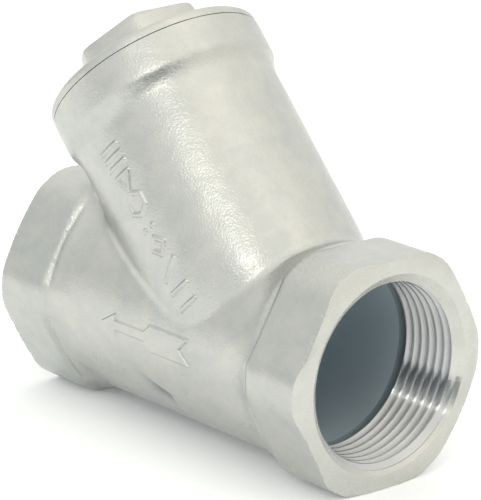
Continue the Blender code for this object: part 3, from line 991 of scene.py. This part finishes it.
# -------------------------------- the cap
CAP_FROM, CAP_TO, CAP_SIDE, CAP_HALF_Y = 64, 80, 27, 27.5  # a box along the branch that holds the cap
cap_corners = np.array([np.array(FOOT) + np.array(UP_BRANCH) * s + np.array([-SIN, 0, -COS]) * side
                        for s in (CAP_FROM, CAP_TO) for side in (-CAP_SIDE, CAP_SIDE)])
cap_low, cap_high = cap_corners.min(axis=0), cap_corners.max(axis=0)
cap_low[1], cap_high[1] = -CAP_HALF_Y, CAP_HALF_Y
cap = field_mesh("cap_casting", cap_outside, cap_low, cap_high, step=0.8, bend=9, levels=2)
cap.data.materials.append(cast_cap)
cut(cap, rod("flange_face", WIDE, FLANGE_LOW - PAST, FLANGE_LOW, BRANCH), neck_turned)
spigot = threaded("cap_thread", cap_stops(CAP_THREAD_ROOT_R, CAP_THREAD_R, 0.0), CAP_PITCH,
                  neck_from, neck_to, BRANCH)
spigot.data.materials.append(neck_bored)
spigot_top, spigot_neck = FLANGE_LOW + 0.5, CAP_THREAD_ROOT_R - 0.2
undercut = SEAL_FLOOR - 1.2
past_thread = CAP_THREAD_R + BREAK
combine(spigot, lathe("cap_thread_ends", [
    (0, spigot_top), (spigot_neck, spigot_top), (spigot_neck, undercut), (past_thread, undercut - 1.0),
    (past_thread, SPIGOT_LOW + 1.3), (CAP_THREAD_ROOT_R - BREAK, SPIGOT_LOW), (0, SPIGOT_LOW)],
    BRANCH), "INTERSECT", neck_turned)
combine(cap, spigot, "UNION")
cut(cap, rod("cap_cup", CUP_R, SPIGOT_LOW - SPARE, CUP_FLOOR, BRANCH), neck_turned)
finish_shading(cap)
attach(cap, "plug")
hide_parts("cap")

# -------------------------------- the gasket
ease = 0.12
gasket = lathe("flat_gasket", [
    (GASKET_R - ease, GASKET_TOP), (GASKET_R, GASKET_TOP - ease),
    (GASKET_R, GASKET_LOW + ease), (GASKET_R - ease, GASKET_LOW),
    (GASKET_BORE_R + ease, GASKET_LOW), (GASKET_BORE_R, GASKET_LOW + ease),
    (GASKET_BORE_R, GASKET_TOP - ease), (GASKET_BORE_R + ease, GASKET_TOP)], BRANCH, closed_ring=True)
gasket.data.materials.append(white_seal)
finish_shading(gasket, 50)
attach(gasket, "seal")
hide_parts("gasket")


# -------------------------------- the screen
SEAM_HALF, SEAM_RISE = 3, 0.22  # half its width in ticks, and its height in millimetres


def perforated_tube(name, outer, wall, low, high, columns=44, row=2.165, hole=0.78, margin=1.9, blank=2):
    """A rolled sheet with staggered round holes, blank at both rims and along its seam.

    Ticks count round it, two to a column. hole is a radius.
    """
    rows = int((high - low - 2 * margin) / row)
    start = (low + high - rows * row) / 2
    ticks = 2 * columns
    width = TAU * outer / columns
    points, faces = [], []
    known = {}

    def point(tick, z, side):
        key = (round(tick % ticks, 6), round(z, 6), side)
        if key not in known:
            angle = TAU * tick / ticks
            r = outer if side == 0 else outer - wall
            seam = abs((tick + ticks / 2) % ticks - ticks / 2)
            if seam < SEAM_HALF:
                r += SEAM_RISE * (1 - (seam / SEAM_HALF) ** 2) ** 0.5
            known[key] = len(points)
            points.append((r * math.cos(angle), r * math.sin(angle), z))
        return known[key]

    def both(corners):
        """One face on the outer side and its mirror on the inner side."""
        faces.append([point(t, z, 0) for t, z in corners])
        faces.append([point(t, z, 1) for t, z in reversed(corners)])

    for z0, z1 in ((low, start), (start + rows * row, high)):
        for t in range(ticks):
            both([(t, z0), (t + 1, z0), (t + 1, z1), (t, z1)])
    for k in range(rows):
        z0, z1 = start + k * row, start + (k + 1) * row
        shift = k % 2
        for c in range(columns):
            t = 2 * c + shift
            ring = [(t, z0), (t + 1, z0), (t + 2, z0), (t + 2, z1), (t + 1, z1), (t, z1)]
            gap = min((t + 1) % ticks, ticks - (t + 1) % ticks)
            if gap <= 2 * blank:
                both(ring)
                continue
            mid_t, mid_z = t + 1, (z0 + z1) / 2
            circle = []
            for i in range(12):
                angle = math.radians(-150 + 30 * i)
                circle.append((mid_t + hole * math.cos(angle) * 2 / width, mid_z + hole * math.sin(angle)))
            # every second point of the circle faces a point of the ring
            for i in range(6):
                a, b = ring[i], ring[(i + 1) % 6]
                c0, c1, c2 = circle[2 * i], circle[2 * i + 1], circle[(2 * i + 2) % 12]
                both([a, b, c1])
                both([a, c1, c0])
                both([b, c2, c1])
            for i in range(12):
                a, b = circle[i], circle[(i + 1) % 12]
                faces.append([point(*a, 0), point(*a, 1), point(*b, 1), point(*b, 0)])
    for z, flip in ((low, False), (high, True)):
        for t in range(ticks):
            face = [point(t, z, 0), point(t, z, 1), point(t + 1, z, 1), point(t + 1, z, 0)]
            faces.append(face[::-1] if flip else face)
    return outward(mesh_object(name, place(BRANCH, points), faces))


screen = perforated_tube("perforated_screen", SCREEN_R, SCREEN_WALL, SCREEN_LOW, SCREEN_TOP)
screen.data.materials.append(mesh_steel)
finish_shading(screen, 40)
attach(screen, "basket")
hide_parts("screen")

# -------------------------------- studio
scene = bpy.context.scene
scene.view_settings.view_transform = "Standard"

FLOOR_HALF, FLOOR_Z = 4000, -0.02  # just below the plane that the object stands on
FLOOR_TONES = (0.945, 0.960, 0.975), (0.960, 0.975, 0.990)
FLOOR_GLOW, FLOOR_GLOW_STRENGTH = (0.95, 0.98, 1.0), 0.11


def studio_floor():
    """A pale floor that glows a little, to lighten the shadow on it."""
    corners = [(x * FLOOR_HALF, y * FLOOR_HALF, FLOOR_Z) for x, y in ((-1, -1), (1, -1), (1, 1), (-1, 1))]
    made = mesh_object("studio_floor", corners, [(0, 1, 2, 3)])
    m = Recipe("pale_floor")
    tone = m.mix(m.spread(m.noise(3, 2)), *FLOOR_TONES)
    made.data.materials.append(m.set(Base_Color=tone, Roughness=0.9, Specular_IOR_Level=0.0,
                                     Emission_Color=FLOOR_GLOW, Emission_Strength=FLOOR_GLOW_STRENGTH))


def lamp(name, aim, direction, distance, size, power, colour):
    """A round lamp that shines on a place; everything here is in metres."""
    data = bpy.data.lights.new(name, "AREA")
    data.shape, data.size, data.energy, data.color = "DISK", size, power, colour
    made = bpy.data.objects.new(name, data)
    made.location = aim + direction * distance
    made.rotation_euler = (aim - made.location).to_track_quat("-Z", "Y").to_euler()
    scene.collection.objects.link(made)


def heading(azimuth, elevation):
    """A direction from degrees from +X towards +Y, and degrees up."""
    a, e = math.radians(azimuth), math.radians(elevation)
    return Vector((math.cos(a) * math.cos(e), math.sin(a) * math.cos(e), math.sin(e)))


# The white tent round the object. FROM is the cosine, from a heading, at which something starts.
TENT_LOW, TENT_RISE = 1.05, 0.30  # brightness at the horizon and its growth to the top
SHADE, SHADE_AT, SHADE_FROM = 0.22, heading(-145, 10), 0.45  # darker on the outlet's side
GLOW, GLOW_AT, GLOW_FROM = 0.24, heading(8, 60), 0.86  # a brighter patch of the roof
OPENING = heading(-36, 1)  # middle of the tent's dark opening
OPENING_WIDE, OPENING_HIGH = 0.50, 0.28  # sines of half its angles
OPENING_OUTSIDE, OPENING_INSIDE = 1.15, 0.8  # its soft edge, as shares of those
OPENING_DARK, OPENING_TINT = 0.93, (0.70, 0.90, 1.0)
COOL, WARM = (0.985, 1.0, 0.975), (1.0, 0.98, 0.905)
WARM_AT, WARM_FROM = heading(20, 55), -0.2


def studio_world():
    """A white tent, warmer above, greyer on the outlet's side, with a dark opening in front."""
    world = bpy.data.worlds.new("studio")
    world.use_nodes = True
    m = Recipe(world, "Background", "Generated")
    level = m.math("MULTIPLY_ADD", m.towards((0, 0, 1)), TENT_RISE, TENT_LOW)
    level = m.math("SUBTRACT", level, m.ease(m.towards(SHADE_AT), SHADE_FROM, 1.0, 0.0, SHADE))
    side = Vector((0, 0, 1)).cross(OPENING).normalized()
    wide = m.math("DIVIDE", m.towards(side), OPENING_WIDE)
    high = m.math("DIVIDE", m.towards(OPENING.cross(side)), OPENING_HIGH)
    reach = m.math("SQRT", m.math("ADD", m.times(wide, wide), m.times(high, high)))
    ahead = m.math("GREATER_THAN", m.towards(OPENING), 0.0)
    inside = m.times(m.ease(reach, OPENING_OUTSIDE, OPENING_INSIDE), ahead)
    level = m.times(level, m.math("MULTIPLY_ADD", inside, -OPENING_DARK, 1.0))
    level = m.math("ADD", level, m.ease(m.towards(GLOW_AT), GLOW_FROM, 1.0, 0.0, GLOW))
    colour = m.mix(m.ease(m.towards(WARM_AT), WARM_FROM, 1.0), COOL, WARM)
    m.set(Color=m.mix(inside, colour, OPENING_TINT), Strength=level)
    scene.world = world


studio_floor()
studio_world()
CENTRE = Vector((0.0, 0.0, 0.045))  # metres
lamp("key", CENTRE, heading(-58, 35), distance=1.2, size=0.04, power=0.8, colour=(1.0, 0.98, 0.93))

# -------------------------------- the camera
EYE = Vector((0.43585, -0.38300, 0.21179))  # metres, like AIM
AIM = Vector((0.00202, 0.0, 0.04087))
ROLL = math.radians(1.235)
LENS = 206.94  # millimetres, for a sensor 36 millimetres wide
camera_data = bpy.data.cameras.new("camera")
camera_data.sensor_fit, camera_data.sensor_width, camera_data.lens = "HORIZONTAL", 36, LENS
camera_data.clip_start, camera_data.clip_end = 0.01, 20
camera = bpy.data.objects.new("camera", camera_data)
back = (EYE - AIM).normalized()
right = Vector((0, 0, 1)).cross(back).normalized()
level_view = Matrix((right, back.cross(right), back)).transposed().to_4x4()
camera.matrix_world = Matrix.Translation(EYE) @ level_view @ Matrix.Rotation(ROLL, 4, "Z")
scene.collection.objects.link(camera)
scene.camera = camera

bpy.context.view_layer.update()
